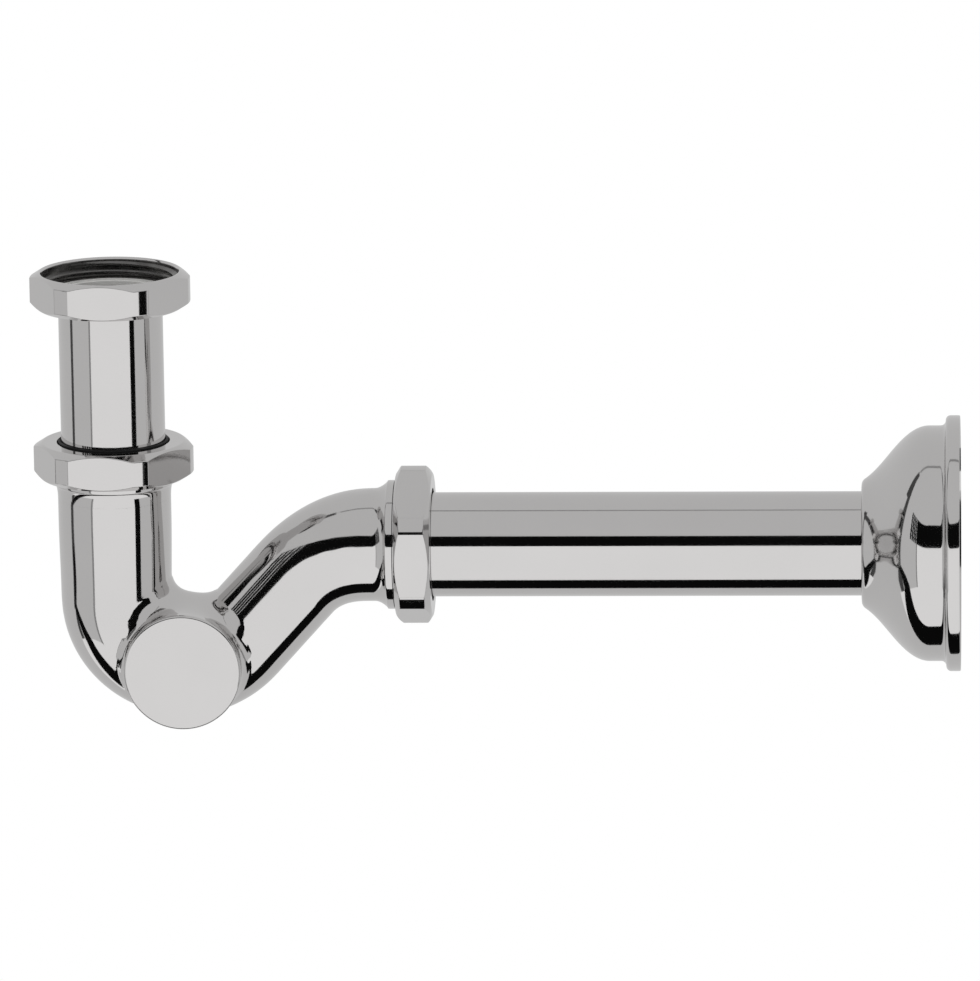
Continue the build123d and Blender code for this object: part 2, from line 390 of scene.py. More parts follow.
@dataclass(frozen=True)
class StudioCard:
    """A curved card of the studio, seen by the plating and not by the camera.

    Attributes:
        name: The card's name.
        azimuth: Its span in degrees from the front, right being positive.
        elevation: Its span in degrees from the horizon.
        tone: How bright it is.
        reach: Its distance from the middle of the trap.
        columns: Faces along its azimuth.
        rows: Faces along its elevation.
    """

    name: str
    azimuth: Span
    elevation: Span
    tone: Tone
    reach: float = 1.6
    columns: int = 24
    rows: int = 16

    def build(self, centre: Vector) -> Object:
        """Model the card.

        Args:
            centre: The middle of the trap.

        Returns:
            The bare card.
        """
        deselect_all()
        bpy.ops.mesh.primitive_grid_add(
            x_subdivisions=self.columns, y_subdivisions=self.rows, size=2.0
        )
        card = bpy.context.object
        card.name = "studio_" + self.name
        for vertex in card.data.vertices:
            azimuth = between(self.azimuth, (vertex.co.x + 1.0) / 2.0)
            elevation = between(self.elevation, (vertex.co.y + 1.0) / 2.0)
            vertex.co = centre + heading(azimuth, elevation) * self.reach
        return card


class Studio:
    """White floor, cards round the trap, soft lamps and a white surround."""

    CENTRE = Vector((0.115, 0.0, -0.07))
    CARDS = (
        StudioCard("front_sheet", (-44.5, 43.5), (-25.0, 8.0), Tone.WHITE),
        StudioCard("left_fold", (-48.0, -44.5), (-30.0, 8.0), Tone.SHADE),
        StudioCard("front_dark", (-70.0, 60.0), (8.0, 30.0), Tone.BLACK),
        StudioCard("roof_front", (-96.0, 98.0), (30.0, 90.0), Tone.GREY),
        StudioCard("roof_back", (97.0, 265.0), (14.0, 90.0), Tone.GREY, 1.61),
        StudioCard("left_wall", (-88.5, -48.0), (-30.0, 30.0), Tone.GREY),
        StudioCard("left_gap", (-95.5, -88.5), (-30.0, 30.0), Tone.DEEP),
        StudioCard("left_seam", (-100.0, -88.5), (30.0, 64.0), Tone.DEEP, 1.55),
        StudioCard("right_flag", (43.5, 55.5), (-30.0, 30.0), Tone.BLACK),
        StudioCard("right_wall", (55.5, 84.0), (-30.0, 30.0), Tone.GREY),
        StudioCard("right_gap", (84.0, 97.0), (-30.0, 30.0), Tone.SHADE),
        StudioCard("back_wall", (97.0, 264.5), (-30.0, 14.0), Tone.GREY),
    )
    UNDER_FLAG = (
        (-1.42, -0.05, 0.11),
        (-0.85, -0.19, -0.03),
        (-0.5, -0.22, -0.05),
        (-0.1, -0.13, 0.06),
        (0.05, -0.115, 0.07),
        (0.75, -0.115, 0.07),
    )
    BACK_BOARD = ((-1.2, 0.07, 1.4), (1.4, 0.07, 1.4))
    ROOF_SEAM = ((-1.0, 0.03, 0.1), (1.0, 0.03, 0.1))
    FLAG_Z = -0.44
    BOARD_Z = FLAG_Z - 0.004
    SEAM_Z = 1.4
    FLOOR_Z = -0.95
    FLOOR_SIDE = 40.0
    FLOOR_PAPER = 0.9
    MATT_LIGHT = 0.55
    LAMPS = (
        ("key_lamp", Vector((-0.7, -1.1, 1.1)), 14.0),
        ("fill_lamp", Vector((1.2, -1.0, 0.5)), 7.0),
        ("back_lamp", Vector((0.2, 1.2, 1.0)), 7.0),
    )
    LAMP_SIDE = 0.8

    def __init__(self) -> None:
        """Prepare the emissive tones."""
        self.tones = {tone: self.card_paper(tone) for tone in Tone}

    @staticmethod
    def card_paper(tone: Tone) -> Material:
        """A card's material.

        Args:
            tone: How bright the card is.

        Returns:
            The material.
        """
        made = bpy.data.materials.new("studio_" + tone.name.lower())
        made.use_nodes = True
        tree = made.node_tree
        tree.nodes.remove(tree.nodes["Principled BSDF"])
        glow = tree.nodes.new("ShaderNodeEmission")
        glow.inputs["Color"].default_value = grey(tone.value)
        link(tree, glow.outputs["Emission"], tree.nodes["Material Output"].inputs["Surface"])
        return made

    def hide_from_camera(self, card: Object, tone: Tone) -> None:
        """Dress a card and let only the plating see it.

        Args:
            card: The card.
            tone: How bright it is.
        """
        card.data.materials.append(self.tones[tone])
        card.visible_camera = False
        card.visible_diffuse = False
        card.visible_shadow = False
        card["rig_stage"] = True

    def flat_card(self, name: str, stations: Sequence[Span3], height: float, tone: Tone) -> None:
        """Lay a flat card under the trap or hang one over it.

        Args:
            name: The card's name.
            stations: Places along X, each with the card's nearest and furthest Y there.
            height: Its level.
            tone: How bright it is.
        """
        deselect_all()
        columns = len(stations) - 1
        bpy.ops.mesh.primitive_grid_add(x_subdivisions=columns, y_subdivisions=1, size=2.0)
        card = bpy.context.object
        card.name = "studio_" + name
        for vertex in card.data.vertices:
            x, near, far = stations[round((vertex.co.x + 1.0) / 2.0 * columns)]
            vertex.co = (x, near if vertex.co.y < 0.0 else far, height)
        self.hide_from_camera(card, tone)

    def lay_floor(self) -> None:
        """Lay the pale floor, white to the camera and the plating, open from below."""
        deselect_all()
        bpy.ops.mesh.primitive_plane_add(size=self.FLOOR_SIDE, location=(0.0, 0.0, self.FLOOR_Z))
        floor = bpy.context.object
        floor.name = "studio_floor"
        paper = bpy.data.materials.new("floor_paper")
        paper.use_nodes = True
        tree = paper.node_tree
        matt = tree.nodes["Principled BSDF"]
        matt.inputs["Base Color"].default_value = grey(self.FLOOR_PAPER)
        matt.inputs["Roughness"].default_value = 0.9
        glow = tree.nodes.new("ShaderNodeEmission")
        clear = tree.nodes.new("ShaderNodeBsdfTransparent")
        side = tree.nodes.new("ShaderNodeNewGeometry")
        front = tree.nodes.new("ShaderNodeMixShader")
        link(tree, self.seen_rays(tree), front.inputs["Fac"])
        link(tree, matt.outputs["BSDF"], front.inputs[1])
        link(tree, glow.outputs["Emission"], front.inputs[2])
        both = tree.nodes.new("ShaderNodeMixShader")
        link(tree, side.outputs["Backfacing"], both.inputs["Fac"])
        link(tree, front.outputs["Shader"], both.inputs[1])
        link(tree, clear.outputs["BSDF"], both.inputs[2])
        link(tree, both.outputs["Shader"], tree.nodes["Material Output"].inputs["Surface"])
        floor.data.materials.append(paper)
        floor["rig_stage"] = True

    @staticmethod
    def seen_rays(tree: NodeTree) -> NodeSocket:
        """Join the camera, glossy and transmission rays of a light path.

        Args:
            tree: The node tree.

        Returns:
            A socket that is 1 for any of the three.
        """
        rays = tree.nodes.new("ShaderNodeLightPath")
        total = rays.outputs["Is Camera Ray"]
        for name in ("Is Glossy Ray", "Is Transmission Ray"):
            either = tree.nodes.new("ShaderNodeMath")
            either.operation = "MAXIMUM"
            link(tree, total, either.inputs[0])
            link(tree, rays.outputs[name], either.inputs[1])
            total = either.outputs["Value"]
        return total

    def surround(self) -> None:
        """Set the white surround, softer where it lights matt surfaces."""
        world = bpy.data.worlds.new("studio_surround")
        bpy.context.scene.world = world
        world.use_nodes = True
        tree = world.node_tree
        sky = tree.nodes["Background"]
        sky.inputs["Color"].default_value = grey(1.0)
        level = tree.nodes.new("ShaderNodeMapRange")
        level.inputs["To Min"].default_value = self.MATT_LIGHT
        level.inputs["To Max"].default_value = 1.0
        link(tree, self.seen_rays(tree), level.inputs["Value"])
        link(tree, level.outputs["Result"], sky.inputs["Strength"])

    def lamp(self, name: str, place: Vector, watts: float) -> None:
        """Hang a soft lamp aimed at the trap.

        Args:
            name: The lamp's name.
            place: Where it hangs.
            watts: Its power.
        """
        deselect_all()
        bpy.ops.object.light_add(type="AREA", location=place)
        lamp = bpy.context.object
        lamp.name = name
        lamp.data.energy = watts
        lamp.data.size = self.LAMP_SIDE
        lamp.rotation_euler = (self.CENTRE - place).to_track_quat("-Z", "Y").to_euler()
        lamp.visible_glossy = False

    def build(self) -> None:
        """Set up the whole studio."""
        for card in self.CARDS:
            self.hide_from_camera(card.build(self.CENTRE), card.tone)
        self.flat_card("under_flag", self.UNDER_FLAG, self.FLAG_Z, Tone.BLACK)
        self.flat_card("back_board", self.BACK_BOARD, self.BOARD_Z, Tone.GREY)
        self.flat_card("roof_seam", self.ROOF_SEAM, self.SEAM_Z, Tone.SHADE)
        self.lay_floor()
        self.surround()
        for name, place, watts in self.LAMPS:
            self.lamp(name, place, watts)
        LOG.info("studio: %d curved cards", len(self.CARDS))


@dataclass(frozen=True)
class PhotoCamera:
    """The camera at the photograph's viewing angle.

    Attributes:
        azimuth: Degrees from the front towards +X.
        elevation: Degrees above the horizon.
        roll: Degrees of tilt in the picture.
        reach: Distance to the point that it looks at.
        aim: That point, in the middle of the picture.
        scale: Pixels of the picture for each metre at that point.
        width: The picture's width in pixels.
        sensor: The sensor's width in millimetres.
        far: Distance past which nothing is seen.
    """

    azimuth: float = 3.04
    elevation: float = 13.01
    roll: float = -0.83
    reach: float = 3.2
    aim: Span3 = (0.11553, 0.0, -0.06309)
    scale: float = 3260.9
    width: int = 980
    sensor: float = 36.0
    far: float = 100.0

    def build(self) -> None:
        """Place the camera and make it the scene's own."""
        away = heading(self.azimuth, self.elevation)
        deselect_all()
        bpy.ops.object.camera_add(location=Vector(self.aim) + away * self.reach)
        camera = bpy.context.object
        camera.name = "photo_camera"
        tilt = Matrix.Rotation(math.radians(self.roll), 3, "Z")
        camera.rotation_euler = (away.to_track_quat("Z", "Y").to_matrix() @ tilt).to_euler()
        camera.data.sensor_fit = "HORIZONTAL"
        camera.data.sensor_width = self.sensor
        camera.data.lens = self.scale * self.reach * self.sensor / self.width
        camera.data.clip_end = self.far
        camera.data.dof.use_dof = False
        bpy.context.scene.camera = camera
        LOG.info("camera: lens %.0f mm", camera.data.lens)


@dataclass(frozen=True)
class Corner:
    """A corner of a turned profile, in millimetres.

    Attributes:
        radius: Distance from the axis.
        height: Place along the axis.
        ease: How far the corner is rounded, or 0.
    """

    radius: float
    height: float
    ease: float = 0.0

    def spot(self) -> Vector:
        """Its place in the XZ half plane, in metres."""
        return Vector((self.radius, 0.0, self.height)) * MM


Profile = tuple[Corner, ...]


def outline(*corners: tuple[float, ...]) -> Profile:
    """Corners from their radius, height and, where they are rounded, ease."""
    return tuple(Corner(*corner) for corner in corners)


@dataclass(frozen=True)
class Arc:
    """An arc of an outline, in millimetres.

    Attributes:
        middle: Where its middle is along the axis, and how far from it.
        radius: Its radius.
        first: The angle in degrees that it starts at.
        last: The angle that it ends at.
    """

    middle: Span
    radius: float
    first: float
    last: float

    def corners(self, count: int) -> list[Corner]:
        """Corners along the arc.

        Args:
            count: How many.

        Returns:
            The corners in order.
        """
        spots = []
        for step in range(count):
            turn = math.radians(self.first + (self.last - self.first) * step / (count - 1))
            radius = self.middle[1] + self.radius * math.sin(turn)
            spots.append(Corner(radius, self.middle[0] + self.radius * math.cos(turn)))
        return spots


@dataclass(frozen=True)
class Flow:
    """A smooth curve through two or three points.

    Attributes:
        points: The points.
        first: Its slope for each unit of length at the first one.
        last: The same at the last one.
    """

    points: tuple[Span, ...]
    first: Span
    last: Span

    def corners(self, count: int, along: bool = False) -> list[Corner]:
        """Corners along the curve.

        Args:
            count: Corners in each stretch between points.
            along: Whether the points give the place along the axis first, then the radius.

        Returns:
            The corners in order.
        """
        spots = [Vector(point) for point in self.points]
        spans = [(b - a).length for a, b in zip(spots, spots[1:])]
        slopes = [Vector(self.first), Vector(self.last)]
        if len(spots) == 3:
            before, after = spans
            rise_in = (spots[1] - spots[0]) * (after / before)
            rise_out = (spots[2] - spots[1]) * (before / after)
            pull = (rise_in + rise_out) * 3
            middle = (pull - slopes[0] * after - slopes[1] * before) / (2 * (before + after))
            slopes.insert(1, middle)
        result = []
        for index, span in enumerate(spans):
            for step in range(count + 1):
                if step == 0 and index > 0:
                    continue
                t = step / count
                place = (
                    spots[index] * (2 * t**3 - 3 * t**2 + 1)
                    + slopes[index] * span * (t**3 - 2 * t**2 + t)
                    + spots[index + 1] * (3 * t**2 - 2 * t**3)
                    + slopes[index + 1] * span * (t**3 - t**2)
                )
                result.append(Corner(place.y, place.x) if along else Corner(place.x, place.y))
        return result


class Bench:
    """Modelling steps that the pieces share."""

    @staticmethod
    def hold(piece: Object) -> None:
        """Make a piece the active one and the only one that is selected.

        Args:
            piece: The piece.
        """
        deselect_all()
        piece.select_set(True)
        bpy.context.view_layer.objects.active = piece

    @staticmethod
    def edit(piece: Object, kind: str = "VERT") -> None:
        """Open a piece in edit mode with all of it selected.

        Args:
            piece: The piece.
            kind: What is picked: VERT, EDGE or FACE.
        """
        Bench.hold(piece)
        bpy.ops.object.mode_set(mode="EDIT")
        bpy.ops.mesh.select_mode(type=kind)
        bpy.ops.mesh.select_all(action="SELECT")

    @staticmethod
    def close() -> None:
        """Leave edit mode."""
        bpy.ops.object.mode_set(mode="OBJECT")

    @staticmethod
    def pick(piece: Object, test: Callable[[Vector], bool]) -> None:
        """Select the vertices of a piece in edit mode that pass a test of their place.

        Args:
            piece: The piece, open in edit mode.
            test: The test of a place.
        """
        bpy.ops.mesh.select_all(action="DESELECT")
        Bench.close()
        for vertex in piece.data.vertices:
            vertex.select = test(vertex.co)
        bpy.ops.object.mode_set(mode="EDIT")

    @staticmethod
    def pick_spots(piece: Object, corners: Sequence[Corner]) -> None:
        """Select some corners of a profile that is open in edit mode."""
        spots = [corner.spot() for corner in corners]
        Bench.pick(piece, lambda co: min((co - spot).length for spot in spots) < SAME_SPOT)

    @staticmethod
    def merge(piece: Object, gap: float) -> None:
        """Merge the vertices of a piece that lie close together.

        Args:
            piece: The piece.
            gap: How close, in metres.
        """
        Bench.edit(piece)
        bpy.ops.mesh.remove_doubles(threshold=gap)
        Bench.close()

    @staticmethod
    def seal() -> None:
        """Fill the holes of what is selected in edit mode, turn it outwards and leave."""
        bpy.ops.mesh.fill_holes(sides=0)
        bpy.ops.mesh.normals_make_consistent(inside=False)
        Bench.close()

    @staticmethod
    def apply(piece: Object, kind: str, **settings: object) -> None:
        """Add a modifier to a piece and apply it.

        Args:
            piece: The piece.
            kind: The modifier's type.
            settings: Its properties.
        """
        Bench.hold(piece)
        modifier = piece.modifiers.new(kind.lower(), kind)
        for name, value in settings.items():
            setattr(modifier, name, value)
        bpy.ops.object.modifier_apply(modifier=modifier.name)

    @staticmethod
    def settle(piece: Object, place: Matrix) -> None:
        """Move a piece to its place and put that place in its mesh.

        Args:
            piece: The piece.
            place: Its place in the frame.
        """
        Bench.hold(piece)
        piece.matrix_world = place
        bpy.ops.object.transform_apply(location=True, rotation=True, scale=True)

    @staticmethod
    def smooth(piece: Object, angle: float = TURNED_EDGE) -> None:
        """Shade a piece smooth, with its edges sharper than some degrees kept."""
        Bench.hold(piece)
        bpy.ops.object.shade_smooth_by_angle(angle=math.radians(angle))

    @staticmethod
    def volume(piece: Object) -> float:
        """The volume that a piece's faces enclose, negative when they point inwards.

        Args:
            piece: The piece.

        Returns:
            The volume in cubic metres.
        """
        mesh = piece.data
        mesh.calc_loop_triangles()
        total = 0.0
        for triangle in mesh.loop_triangles:
            first, second, third = (mesh.vertices[index].co for index in triangle.vertices)
            total += first.dot(second.cross(third)) / 6.0
        return total

    @staticmethod
    def profile(name: str, corners: Sequence[Corner]) -> Object:
        """Draw a closed profile with eased corners in the XZ half plane.

        Args:
            name: The piece's name.
            corners: Its corners in order.

        Returns:
            The profile's edges, open in edit mode.
        """
        deselect_all()
        bpy.ops.mesh.primitive_circle_add(vertices=len(corners), radius=1.0, fill_type="NGON")
        piece = bpy.context.object
        piece.name = name
        for vertex, corner in zip(piece.data.vertices, corners):
            vertex.co = corner.spot()
        Bench.edit(piece)
        for ease in sorted({corner.ease for corner in corners if corner.ease}):
            Bench.pick_spots(piece, [corner for corner in corners if corner.ease == ease])
            bpy.ops.mesh.bevel(affect="VERTICES", offset=ease * MM, segments=5)
        bpy.ops.mesh.select_all(action="SELECT")
        bpy.ops.mesh.delete(type="ONLY_FACE")
        return piece

    @staticmethod
    def spin(steps: int) -> None:
        """Spin what is open in edit mode once round Z, and close the seam.

        Args:
            steps: Faces round the axis.
        """
        bpy.ops.mesh.select_all(action="SELECT")
        bpy.ops.mesh.spin(
            steps=steps, angle=math.tau, center=(0.0, 0.0, 0.0), axis=(0.0, 0.0, 1.0)
        )
        bpy.ops.mesh.select_all(action="SELECT")
        bpy.ops.mesh.remove_doubles(threshold=SEAM_GAP)
        bpy.ops.mesh.delete_loose(use_verts=True, use_edges=True, use_faces=False)
        bpy.ops.mesh.select_all(action="SELECT")
        bpy.ops.mesh.normals_make_consistent(inside=False)
        Bench.close()

    @staticmethod
    def turned(name: str, corners: Sequence[Corner], place: Matrix, steps: int = 144) -> Object:
        """Turn a closed profile round its axis.

        Args:
            name: The piece's name.
            corners: The profile's corners in order.
            place: Where the axis goes in the frame.
            steps: Faces round the axis.

        Returns:
            The closed piece.
        """
        piece = Bench.profile(name, corners)
        Bench.spin(steps)
        Bench.settle(piece, place)
        Bench.smooth(piece)
        Bench.apply(piece, "WEIGHTED_NORMAL", keep_sharp=True, weight=100)
        return piece

    @staticmethod
    def cut(piece: Object, tool: Object, operation: str) -> None:
        """Cut a piece with a tool that is then thrown away, by INTERSECT or DIFFERENCE."""
        Bench.apply(piece, "BOOLEAN", object=tool, operation=operation, solver="EXACT")
        bpy.data.objects.remove(tool)


@dataclass(frozen=True)
class Thread:
    """A helical ridge on a round wall, faded out at both ends, in millimetres.

    Attributes:
        name: The piece's name.
        wall: Radius of the wall that carries it.
        crest: Radius of its crest.
        pitch: Rise in one turn.
        start: Where it starts along the axis.
        end: Where it ends.
        sunk: How far its root lies in the wall.
        drop: Share of its height from the crest down to the knees.
        foot: Half its width at the root, as a share of the pitch.
        knee: The same at the knees.
        top: The same at the crest.
        steps_a_turn: Sections in one turn.
    """

    name: str
    wall: float
    crest: float
    pitch: float
    start: float
    end: float
    sunk: float = 0.12
    drop: float = 0.16
    foot: float = 0.43
    knee: float = 0.15
    top: float = 0.08
    steps_a_turn: int = 72

    def build(self, place: Matrix) -> Object:
        """Model the ridge.

        Args:
            place: Where its axis goes in the frame.

        Returns:
            The closed ridge.
        """
        root = self.wall + math.copysign(self.sunk, self.wall - self.crest)
        lip = self.crest + (self.wall - self.crest) * self.drop
        foot, knee, top = (self.pitch * share for share in (self.foot, self.knee, self.top))
        section = outline(
            (root, -foot),
            (lip, -knee),
            (self.crest, -top),
            (self.crest, top),
            (lip, knee),
            (root, foot),
        )
        turns = (self.end - self.start) / self.pitch - 2 * self.foot
        steps = round(turns * self.steps_a_turn)
        piece = Bench.profile(self.name, section)
        Bench.close()
        Bench.apply(
            piece,
            "SCREW",
            axis="Z",
            angle=math.tau * turns,
            screw_offset=self.pitch * turns * MM,
            iterations=1,
            steps=steps,
            render_steps=steps,
            use_merge_vertices=False,
        )
        self.fade(piece, len(section), steps, root)
        Bench.edit(piece, "EDGE")
        Bench.seal()
        if Bench.volume(piece) < 0.0:
            Bench.edit(piece, "FACE")
            bpy.ops.mesh.flip_normals()
            Bench.close()
        rise = Matrix.Translation((0.0, 0.0, (self.start + foot) * MM))
        Bench.settle(piece, place @ rise)
        Bench.smooth(piece, CUT_EDGE)
        return piece

    def fade(self, piece: Object, ring: int, steps: int, root: float) -> None:
        """Sink both ends of the ridge into the wall.

        Args:
            piece: The ridge.
            ring: Vertices in its section.
            steps: Sections along it, less one.
            root: Radius of its root.
        """
        run_out = self.steps_a_turn // 3
        for index, vertex in enumerate(piece.data.vertices):
            step = index // ring
            share = min(1.0, step / run_out, (steps - step) / run_out)
            flat = Vector((vertex.co.x, vertex.co.y, 0.0))
            reach = flat.length
            wanted = root * MM + (reach - root * MM) * share
            flat *= wanted / reach
            vertex.co.x, vertex.co.y = flat.x, flat.y


@dataclass(frozen=True)
class HexNut:
    """A polished hexagonal nut with a shoulder, in millimetres from its top face.

    Attributes:
        name: The piece's name.
        turn: Degrees that its flats are turned.
        bore: Its bore as corners of a turned tool.
        flat: Distance from the axis to a flat.
        corner: Radius that the corners are turned to.
        face: Radius of the flat end faces.
        height: Its height.
        slope: Degrees of the chamfer at its ends.
        ease: Softness of its edges.
        soft_from: Degrees past which an edge is softened.
        crumb: Share of that softness below which the cuts' edges are merged away.
        steps: Faces round the tools that shape it.
    """

    name: str
    turn: float
    bore: Profile
    flat: float = 22.5
    corner: float = 24.6
    face: float = 21.8
    height: float = 11.2
    slope: float = 32.0
    ease: float = 0.2
    soft_from: float = 14.0
    crumb: float = 0.3
    steps: int = 180

    def build(self, place: Matrix) -> Object:
        """Model the nut.

        Args:
            place: Where its top face goes in the frame, its Z being up.

        Returns:
            The finished nut.
        """
        deselect_all()
        bpy.ops.mesh.primitive_cylinder_add(
            vertices=6,
            radius=self.flat / math.cos(math.radians(30.0)) * MM,
            depth=self.height * MM,
            location=(0.0, 0.0, -self.height / 2 * MM),
            rotation=(0.0, 0.0, math.radians(self.turn)),
        )
        nut = bpy.context.object
        nut.name = self.name
        bpy.ops.object.transform_apply(location=True, rotation=True, scale=True)
        drop = (self.corner - self.face) * math.tan(math.radians(self.slope))
        blank = outline(
            (0.0, 0.0),
            (self.face, 0.0),
            (self.corner, -drop),
            (self.corner, drop - self.height),
            (self.face, -self.height),
            (0.0, -self.height),
        )
        Bench.cut(nut, Bench.turned("blank", blank, Matrix(), self.steps), "INTERSECT")
        Bench.cut(nut, Bench.turned("bore", self.bore, Matrix(), self.steps), "DIFFERENCE")
        Bench.merge(nut, self.ease * self.crumb * MM)
        Bench.apply(
            nut,
            "BEVEL",
            width=self.ease * MM,
            segments=3,
            limit_method="ANGLE",
            angle_limit=math.radians(self.soft_from),
            use_clamp_overlap=False,
        )
        Bench.settle(nut, place)
        Bench.smooth(nut, CUT_EDGE)
        Bench.apply(nut, "WEIGHTED_NORMAL", keep_sharp=True, weight=80)
        return nut


INLET_JOINT = Matrix.Translation((0.0, 0.0, -47.0 * MM))
UNION_TOP = Matrix.Translation((0.0, 0.0, 6.1 * MM))
OUTLET_AXIS = Matrix.Translation((0.0, 0.0, -80.0 * MM)) @ Matrix.Rotation(QUARTER, 4, "Y")
OUTLET_FACE = 97.7949
OUTLET_JOINT = Matrix.Translation((OUTLET_FACE * MM, 0.0, 0.0)) @ OUTLET_AXIS
BOSS_AXIS = Matrix.Translation((21.5 * MM, 0.0, -114.9 * MM)) @ Matrix.Rotation(QUARTER, 4, "X")
PIPE_PITCH = 2.309
CAP_PITCH = 1.5
TUBE_STEPS = 192


class Assembly:
    """Keeps the trap's pieces: each is dressed, rides on its body and may stand for a solid."""

    INWARD = -0.3

    def __init__(self, frame: dict) -> None:
        self.nodes: dict[str, Object] = frame["nodes"]

    def fit(
        self,
        piece: Object,
        body: str,
        slot: Slot,
        material: Material,
        stands_for: str | None = None,
    ) -> None:
        """Dress a piece and tie it to its body.

        Args:
            piece: The piece.
            body: The body that it moves with.
            slot: The record's slot that it belongs to; not used.
            material: Its finish.
            stands_for: The solid that it replaces.
        """
        piece.data.materials.clear()
        piece.data.materials.append(material)
        for face in piece.data.polygons:
            face.material_index = 0
        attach(piece, body)
        if stands_for is not None:
            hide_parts(stands_for)
        LOG.info("%s: %d faces on %s", piece.name, len(piece.data.polygons), body)

    def line(self, piece: Object, place: Matrix, reach: float, material: Material) -> None:
        """Give the faces of a piece that look at its axis another finish: a darker, duller chrome
        that paints in the shade of its bore.

        Args:
            piece: The piece.
            place: Its axis in the frame.
            reach: Largest radius of those faces, in millimetres.
            material: Their finish, with painted shade.
        """
        piece.data.materials.append(material)
        to_axis = place.inverted()
        turn = to_axis.to_3x3()
        for face in piece.data.polygons:
            middle = (to_axis @ face.center).xy
            facing = (turn @ face.normal).xy.dot(middle)
            if middle.length < reach * MM and facing < self.INWARD * middle.length:
                face.material_index = 1

    def keep(self, node: str, material: Material) -> None:
        """Give a solid that stays its finish.

        Args:
            node: The solid.
            material: Its finish.
        """
        self.nodes[node].data.materials.clear()
        self.nodes[node].data.materials.append(material)
        LOG.info("%s: solid kept", node)


@dataclass(frozen=True)
class Course:
    """The round course of the casting as drawn, in millimetres.

    Attributes:
        wide: Radius at both sockets.
        entry: Radius where the leg meets the first bend.
        narrow: Radius of the rising leg.
        bend_top: Height of the first bend's middle.
        bend: Radius of the first bend.
        turn: Radius of the second bend.
        level: Height of the outlet.
        rise: Slope of the rising leg in degrees.
        drawn: Length of the leg over which it draws in.
    """

    wide: float = 17.353
    entry: float = 17.003
    narrow: float = 15.603
    bend_top: float = -95.9
    bend: float = 21.5
    turn: float = 32.0
    level: float = -80.0
    rise: float = 48.0
    drawn: float = 24.96

    @staticmethod
    def ease(share: float) -> float:
        """An even change from 0 to 1 that starts and ends level."""
        share = min(max(share, 0.0), 1.0)
        return share * share * (3.0 - 2.0 * share)

    def nearest(self, x: float, z: float) -> Span3:
        """The nearest point of the centre line.

        Args:
            x: Place along the trap.
            z: Height.

        Returns:
            Where that point is along the trap, its height and the radius there.
        """
        slope = math.radians(self.rise)
        along = Vector((math.cos(slope), math.sin(slope)))
        foot = Vector((self.bend + self.bend * along.y, self.bend_top - self.bend * along.x))
        climb = (self.level - self.turn * (1.0 - along.x) - foot.y) / along.y
        head = foot + along * climb
        middle = head + Vector((along.y, -along.x)) * self.turn
        spot = Vector((x, z))
        if z > self.bend_top and x < self.bend:
            share = self.ease((self.bend_top + self.drawn - z) / self.drawn)
            return 0.0, z, between((self.wide, self.entry), share)
        if x > middle.x:
            return x, self.level, self.wide
        reach = (spot - foot).dot(along)
        if reach < 0.0:
            low_middle = Vector((self.bend, self.bend_top))
            out = spot - low_middle
            swept = math.atan2(out.y, out.x) % math.tau - math.pi
            radius = between((self.entry, self.narrow), self.ease(swept / (QUARTER + slope)))
            place = low_middle + out.normalized() * self.bend
            return place.x, place.y, radius
        if reach < climb:
            place = foot + along * reach
            return place.x, place.y, self.narrow
        out = spot - middle
        swept = QUARTER + slope - math.atan2(out.y, out.x)
        radius = between((self.narrow, self.wide), self.ease(swept / slope))
        place = middle + out.normalized() * self.turn
        return place.x, place.y, radius


@dataclass
class Section:
    """A section of the trap.

    Attributes:
        assembly: Where its pieces go.
        finishes: The part's finishes.
    """

    assembly: Assembly
    finishes: Finishes


